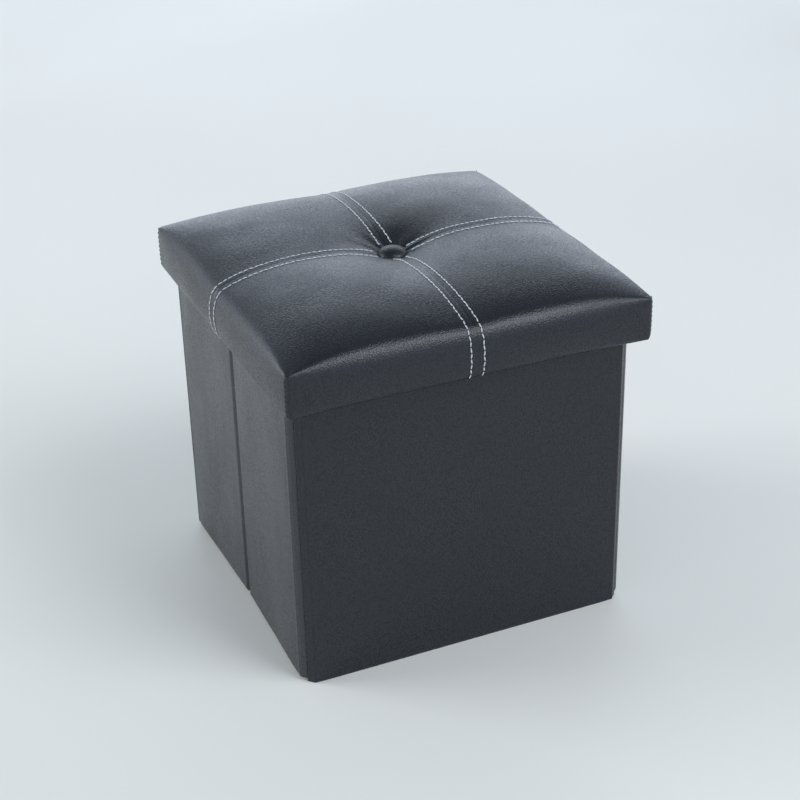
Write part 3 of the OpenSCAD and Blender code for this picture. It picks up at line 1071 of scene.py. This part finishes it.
def swellCloth(piece, held, s):
    rest = [v.co.copy() for v in piece.data.vertices]
    group = piece.vertex_groups.new(name="held")
    for index, weight in held.items():
        group.add([index], weight, "REPLACE")
    cloth = piece.modifiers.new("filling", "CLOTH")
    c = cloth.settings
    c.quality = 5
    c.mass = 0.3
    c.tension_stiffness = 30
    c.compression_stiffness = 30
    c.shear_stiffness = 12
    c.bending_stiffness = 1.5
    c.use_pressure = True
    c.uniform_pressure_force = s["pressure"]
    c.vertex_group_mass = "held"
    c.pin_stiffness = 1.0
    c.effector_weights.gravity = 0
    cloth.collision_settings.use_collision = False
    cloth.point_cache.frame_start = 1
    cloth.point_cache.frame_end = s["steps"]
    for number in range(1, s["steps"] + 1):
        scene.frame_set(number)
    shown = piece.evaluated_get(bpy.context.evaluated_depsgraph_get())
    moved = [v.co.copy() for v in shown.data.vertices]
    piece.modifiers.remove(cloth)
    scene.frame_set(1)
    cap = s["cap"] * metres
    most = 0
    for v, a, b in zip(piece.data.vertices, rest, moved):
        step = b - a
        most = max(most, step.length)
        if step.length > 1e-9:
            v.co = a + step * (cap * math.tanh(step.length / cap) / step.length) * (1 - held[v.index])
    piece.vertex_groups.clear()
    print("the filling moved the cover by up to", round(most * 1000, 1), "mm before the cap")


def subdivide(piece, levels):
    smooth = piece.modifiers.new("round", "SUBSURF")
    smooth.levels = levels
    smooth.render_levels = levels
    shown = piece.evaluated_get(bpy.context.evaluated_depsgraph_get())
    mesh = bpy.data.meshes.new_from_object(shown)
    piece.modifiers.remove(smooth)
    old = piece.data
    piece.data = mesh
    mesh.name = old.name + "_fine"
    bpy.data.meshes.remove(old)


def carveSeams(piece, s):
    # the seam along each arm, the dents of its two stitch rows, and the corner seams of the skirt
    mesh = piece.data
    normals = [v.normal.copy() for v in mesh.vertices]
    for v, n in zip(mesh.vertices, normals):
        p = v.co * 1000
        if math.hypot(p.x, p.y) < 11 or (p.z < 249.5 and max(abs(p.x), abs(p.y)) < 150):
            continue
        onSkirt = n.z < 0.5
        if onSkirt:
            near = abs(p.x) if abs(n.y) > abs(n.x) else abs(p.y)
        else:
            near = min(abs(p.x), abs(p.y))
        depth = s["seamDepth"] * math.exp(-(near / 1.0) ** 2)
        depth += s["rowDepth"] * math.exp(-((near - s["rowAt"]) / 1.1) ** 2)
        if onSkirt and abs(n.x) > 0.3 and abs(n.y) > 0.3:
            edge = abs(abs(n.x) - abs(n.y))
            depth += s["cornerSeam"] * math.exp(-(edge / 0.2) ** 2)
        v.co -= n * depth * metres
    mesh.update()


cover = buildCover()
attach(cover, "lid")
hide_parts("lid_cover", "lid_foam", "skirt_pad_front", "skirt_pad_back", "skirt_pad_left",
            "skirt_pad_right")
print("lid is padded")


stitchSettings = {
    "pitch": 4.5,
    "length": 4.2,
    "radius": 0.58,
    "twist": 0.15,
    "lift": 0.36,
    "from": 14.0,          # out from the middle of the button
    "to": 249.6,           # the height of the lowest stitch
    "corner": (4.0, 2.9, 0.42),
    "cornerHeights": (284.0, 251.0),
}


def surfaceLine(tree, direction, across, s):
    # points and normals along one row, from the button out and down the skirt
    side = Vector((direction.y, -direction.x, 0))
    line = []
    for k in range(int(s["from"] * 2), 297):
        start = (direction * k * 0.5 + side * across + Vector((0, 0, 340))) * metres
        hit, normal, _, _ = tree.ray_cast(start, Vector((0, 0, -1)))
        if hit:
            line.append((hit * 1000, normal))
    lowest = line[-1][0].z
    z = lowest - 0.5
    while z > s["to"]:
        start = (direction * 200 + side * across + Vector((0, 0, z))) * metres
        hit, normal, _, _ = tree.ray_cast(start, -direction)
        if hit:
            line.append((hit * 1000, normal))
        z -= 0.5
    return line


def stitchLine(bm, line, s):
    travelled, wanted, count = 0, s["pitch"] / 2, 0
    for (a, _), (b, normal) in zip(line, line[1:]):
        step = b - a
        travelled += step.length
        if travelled >= wanted:
            wanted += s["pitch"]
            count += 1
            along = step.normalized()
            side = normal.cross(along)
            along = along + side * s["twist"] * (1 if count % 2 else -1)
            addStitch(bm, b + normal * s["lift"], along, normal, s["length"], s["radius"])


def buildLidStitches(cover):
    s = stitchSettings
    mesh = cover.data
    tree = BVHTree.FromPolygons([v.co for v in mesh.vertices], [p.vertices for p in mesh.polygons])
    for label, direction in (("front", (0, -1, 0)), ("back", (0, 1, 0)), ("left", (-1, 0, 0)),
                             ("right", (1, 0, 0))):
        bm = bmesh.new()
        for sign in (-1, 1):
            stitchLine(bm, surfaceLine(tree, Vector(direction), sign * coverSettings["rowAt"], s), s)
        rows = makePiece(bm, "topstitch_" + label, whiteThread, 180)
        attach(rows, "lid")
    bm = bmesh.new()
    pitch, length, radius = s["corner"]
    high, low = s["cornerHeights"]
    for sx in (-1, 1):
        for sy in (-1, 1):
            out = Vector((sx, sy * 1.015, 0)).normalized()
            z = high
            while z > low:
                hit, normal, _, _ = tree.ray_cast(Vector((sx * 0.19, sy * 0.193, z * metres)), -out)
                if hit:
                    addStitch(bm, hit * 1000 + out * 0.1, Vector((0.1 * sx, 0, 1)), out, length, radius)
                z -= pitch
    corners = makePiece(bm, "lid_corner_stitches", blackThread, 180)
    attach(corners, "lid")


buildLidStitches(cover)
print("lid is stitched")


buttonSettings = {
    "gathers": 14,
    "gatherDepth": 0.10,
    "steps": 72,
    "washerSteps": 48,
    "cordRadius": 1.1,
}


def spinOutline(outline, steps, closed, dist):
    # half of an outline, turned round the upright axis
    bm = bmesh.new()
    line = [bm.verts.new((x, 0, z)) for x, z in outline]
    edges = [bm.edges.new(pair) for pair in zip(line, line[1:] + (line[:1] if closed else []))]
    bmesh.ops.spin(bm, geom=line + edges, cent=(0, 0, 0), axis=(0, 0, 1), angle=2 * math.pi,
                   steps=steps, use_merge=True)
    bmesh.ops.remove_doubles(bm, verts=bm.verts, dist=dist)
    bmesh.ops.recalc_face_normals(bm, faces=bm.faces)
    return bm


def buildButton():
    s = buttonSettings
    r, _, top = boxMm("button_shell")[1]
    # half of the outline, from the middle of the dome round the rim to the underside
    outline = [(0, top), (0.2 * r, top - 0.12), (0.42 * r, top - 0.62), (0.62 * r, top - 1.45),
               (0.79 * r, top - 2.55), (0.91 * r, top - 3.75), (0.975 * r, top - 4.9), (r, top - 5.9),
               (0.985 * r, top - 6.7), (0.93 * r, top - 7.3), (0.8 * r, top - 7.6), (0, top - 7.6)]
    bm = spinOutline(outline, s["steps"], False, 0.01)
    for v in bm.verts:
        reach = math.hypot(v.co.x, v.co.y) / r
        turn = math.atan2(v.co.y, v.co.x)
        pull = s["gatherDepth"] * max(0, reach - 0.72) / 0.28 * (0.5 + 0.5 * math.sin(s["gathers"] * turn))
        v.co.x *= 1 - pull / r
        v.co.y *= 1 - pull / r
        v.co.z -= pull * 0.6
    button = makePiece(bm, "covered_button", leather, 60)
    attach(button, "lid")
    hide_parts("button_shell", "button_core")


def buildWasher():
    low, high = washerLow.z, washerHigh.z
    r = washerHigh.x
    outline = [(1.7, low + 0.2), (2.0, low), (r - 0.5, low), (r - 0.12, low + 0.15), (r, low + 0.5),
               (r, high - 0.3), (r - 0.3, high), (1.7, high)]
    bm = spinOutline(outline, buttonSettings["washerSteps"], True, 0.005)
    disc = makePiece(bm, "cord_washer", plastic, 35)
    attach(disc, "lid")
    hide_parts("tuft_washer")
    # the cord is tied off in a flat knot under the washer
    bm = bmesh.new()
    for centre, length, turn in (((0, 0, low - 0.9), 5.4, 0.4), ((0.5, 0.6, low - 1.5), 4.6, 1.9),
                                 ((-1.4, 1.0, low - 0.7), 5.0, -0.8), ((1.6, -1.1, low - 0.7), 5.2, -0.5)):
        along = Vector((math.cos(turn), math.sin(turn), 0.08))
        addStitch(bm, Vector(centre), along, Vector((0, 0, -1)), length, buttonSettings["cordRadius"], 0.9)
    knot = makePiece(bm, "cord_knot", cordThread, 180)
    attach(knot, "lid")


undersideSettings = {
    "segments": 64,
    "cloth": 0.36,
    "ringGap": 0.4,        # between the lining and the cards inside the skirt
    "rows": 5,
    "hemHeight": 256.5,
    "hemHalf": 140,
    "hemPitch": 5.0,
}


def buildUnderside():
    s = undersideSettings
    half = underHigh
    bm = bmesh.new()
    hole = bmesh.ops.create_circle(bm, cap_ends=False, segments=s["segments"],
                                   radius=washerHigh.x + 0.3)["verts"]
    rim = bmesh.ops.create_circle(bm, cap_ends=False, segments=s["segments"], radius=100)["verts"]
    for v in rim:
        k = 1 / max(abs(v.co.x), abs(v.co.y))
        v.co.x, v.co.y = v.co.x * k * half.x, v.co.y * k * half.y
    edges = list({e for v in hole + rim for e in v.link_edges})
    bmesh.ops.bridge_loops(bm, edges=edges)
    spokes = [e for e in bm.edges if e.calc_length() > 60]
    bmesh.ops.subdivide_edges(bm, edges=spokes, cuts=14, use_grid_fill=False)
    for v in bm.verts:
        x, y = v.co.x, v.co.y
        fade = min(1, (half.x - max(abs(x), abs(y))) / 12) * min(1, (math.hypot(x, y) - 9) / 12)
        v.co.z = underLow.z - 0.25 * fade * max(0, 0.4 + noise.noise(Vector((x * 0.02, y * 0.02, 2))))
    faceTowards(bm, lambda c: Vector((0, 0, -1)))
    bmesh.ops.solidify(bm, geom=bm.faces[:], thickness=s["cloth"])
    cloth = makePiece(bm, "lid_under_felt", felt)
    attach(cloth, "lid")
    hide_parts("lid_lining")

    low, high = boxMm("skirt_lining")
    wide = high.x - s["ringGap"]
    deep = high.y - s["ringGap"]
    # a ring of lining inside the skirt, from the hem up to the lid's underside
    marks = evenSteps(-1, 1, 0.05)
    loop = [(m, -1) for m in marks[:-1]] + [(1, m) for m in marks[:-1]]
    loop += [(-m, 1) for m in marks[:-1]] + [(-1, -m) for m in marks[:-1]]
    bm = bmesh.new()
    line = [bm.verts.new((x * wide, y * deep, low.z)) for x, y in loop]
    edges = [bm.edges.new(pair) for pair in zip(line, line[1:] + line[:1])]
    for k in range(s["rows"]):
        grown = bmesh.ops.extrude_edge_only(bm, edges=edges)["geom"]
        verts = [g for g in grown if isinstance(g, bmesh.types.BMVert)]
        edges = [g for g in grown if isinstance(g, bmesh.types.BMEdge)
                 and all(v in verts for v in g.verts)]
        bmesh.ops.translate(bm, verts=verts, vec=(0, 0, (high.z - low.z) / s["rows"]))
    faceTowards(bm, lambda c: Vector((-c.x, -c.y, 0)))
    bmesh.ops.solidify(bm, geom=bm.faces[:], thickness=s["cloth"])
    cloth = makePiece(bm, "skirt_felt", felt)
    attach(cloth, "lid")
    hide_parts("skirt_lining")
    # the hem is sewn to the lining inside the skirt
    bm = bmesh.new()
    reach = coverSettings["inner"] - 0.05
    run = (-s["hemHalf"], s["hemHalf"])
    for sign in (-1, 1):
        rowAlongX(bm, *run, sign * reach, s["hemHeight"], Vector((0, -sign, 0)), s["hemPitch"], *rowStitch)
        rowAlongY(bm, *run, sign * reach, s["hemHeight"], Vector((-sign, 0, 0)), s["hemPitch"], *rowStitch)
    thread = makePiece(bm, "hem_stitches", blackThread, 180)
    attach(thread, "lid")


buildButton()
buildWasher()
buildUnderside()
print("button, washer and underside are fitted")


# the boards and cards of the frame show their own shapes, so they only get a finish
def finishNode(node, material):
    for slot in frame["nodes"][node].material_slots:
        slot.material = material


for node in frame["nodes"]:
    if node.startswith("skirt_card"):
        finishNode(node, greyCard)
    elif node.endswith("_board"):
        finishNode(node, fibreboard)
finishNode("tuft_cord", cordThread)


def buildFloor():
    bm = bmesh.new()
    bmesh.ops.create_grid(bm, x_segments=4, y_segments=4, size=lightSettings["floorHalf"])
    floor = makePiece(bm, "floor", floorPaint)


buildFloor()

print("the pieces are finished")
